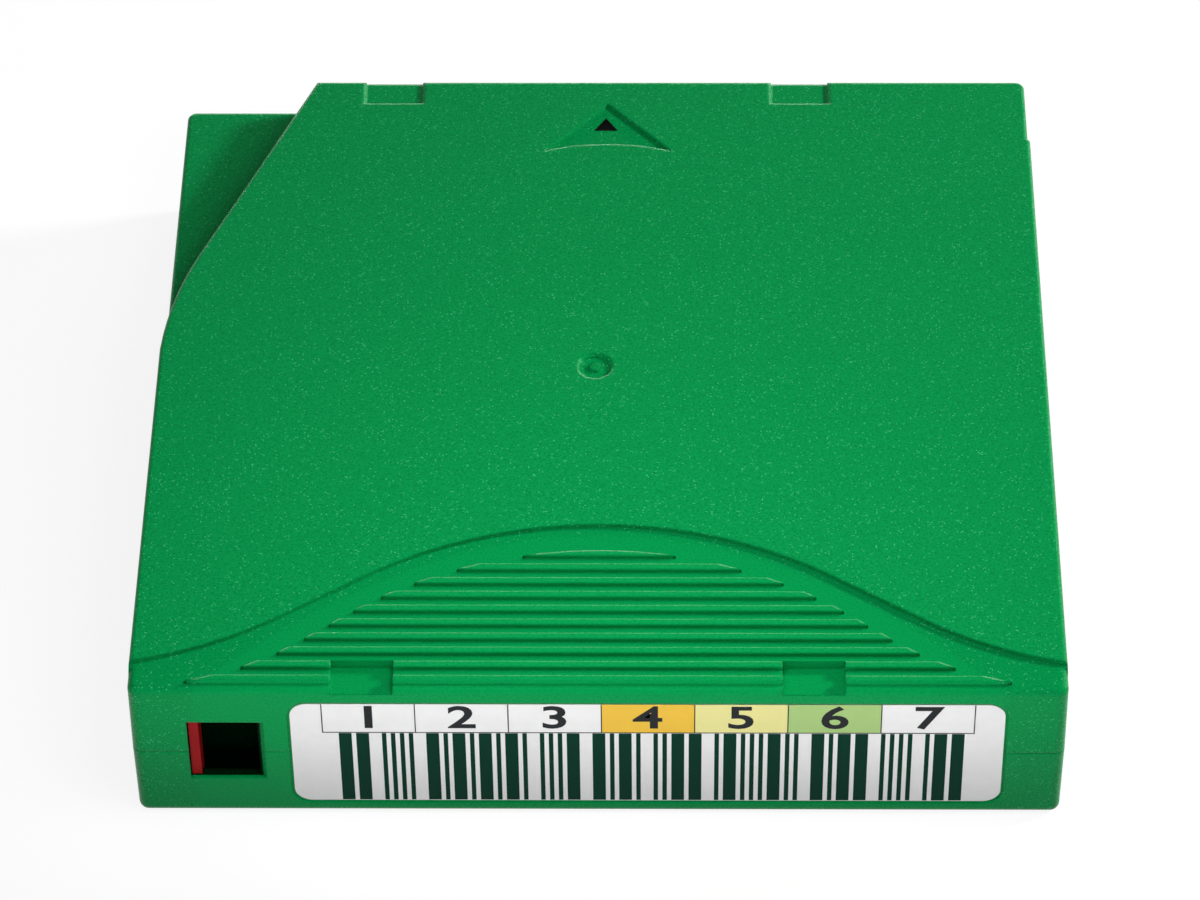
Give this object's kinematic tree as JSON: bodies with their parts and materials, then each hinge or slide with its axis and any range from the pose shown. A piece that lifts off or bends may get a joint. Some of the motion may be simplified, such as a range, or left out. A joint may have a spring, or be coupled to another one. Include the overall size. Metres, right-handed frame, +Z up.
{
  "type": "data tape cartridge",
  "caption": "Single-reel data tape cartridge with a stepped, ribbed top, sliding side door, leader pin and write-protect slider.",
  "frame": {"origin": "middle of the case's footprint, on its underside", "axes": "+Z up through the case's thickness, +Y towards the insertion end, +X towards the side with the tape door; the label face looks towards -Y"},
  "size_m": [0.1054, 0.102, 0.0215],
  "materials": {
    "green_case": "fine matt texture",
    "screw_steel": "dark plated",
    "label_film": "satin printed",
    "chip_board": "satin",
    "red_plastic": "satin",
    "door_plastic": "satin",
    "spring_steel": "bright wire",
    "pin_steel": "turned and polished",
    "clip_plastic": "natural",
    "tape_film": "smooth film edge",
    "reel_plastic": "satin",
    "plate_steel": "rolled sheet",
    "pad_plastic": "natural",
    "brake_plastic": "natural"
  },
  "bodies": {
    "case": {"upper_shell": "green_case", "lower_shell": "green_case", "case_screw_1": "screw_steel", "case_screw_2": "screw_steel", "case_screw_3": "screw_steel", "case_screw_4": "screw_steel", "barcode_label": "label_film", "memory_chip": "chip_board", "door_spring": "spring_steel", "leader_pin": "pin_steel", "tape_clip": "clip_plastic", "leader_tape": "tape_film", "pin_spring": "spring_steel", "brake_spring": "spring_steel"},
    "reel": {"reel_hub": "reel_plastic", "upper_flange": "reel_plastic", "reel_plate": "plate_steel", "tape_pack": "tape_film"},
    "release": {"release_pad": "pad_plastic"},
    "brake": {"brake_disc": "brake_plastic"},
    "door": {"door": "door_plastic"},
    "tab": {"write_protect_tab": "red_plastic"}
  },
  "joints": [
    {"name": "reel_spin", "type": "hinge", "parent": "case", "child": "reel", "pos_m": [-0.0008, 0.0002, 0], "axis": [0, 0, 1], "continuous": true},
    {"name": "brake_lift", "type": "slide", "parent": "case", "child": "brake", "axis": [0, 0, 1], "range_m": [0, 0.0017], "stiffness_N_per_m": 150, "springref_m": -0.01, "deforming": ["brake_spring"]},
    {"name": "release_lift", "type": "slide", "parent": "reel", "child": "release", "axis": [0, 0, 1], "range_m": [0, 0.0017]},
    {"name": "door_slide", "type": "slide", "parent": "case", "child": "door", "axis": [0, -1, 0], "range_m": [0, 0.015], "stiffness_N_per_m": 20, "springref_m": -0.015, "deforming": ["door_spring"]},
    {"name": "protect_slide", "type": "slide", "parent": "case", "child": "tab", "axis": [1, 0, 0], "range_m": [0, 0.0065]}
  ],
  "couplings": [
    {"joint": "release_lift", "follows": "brake_lift", "ratio": 1}
  ]
}
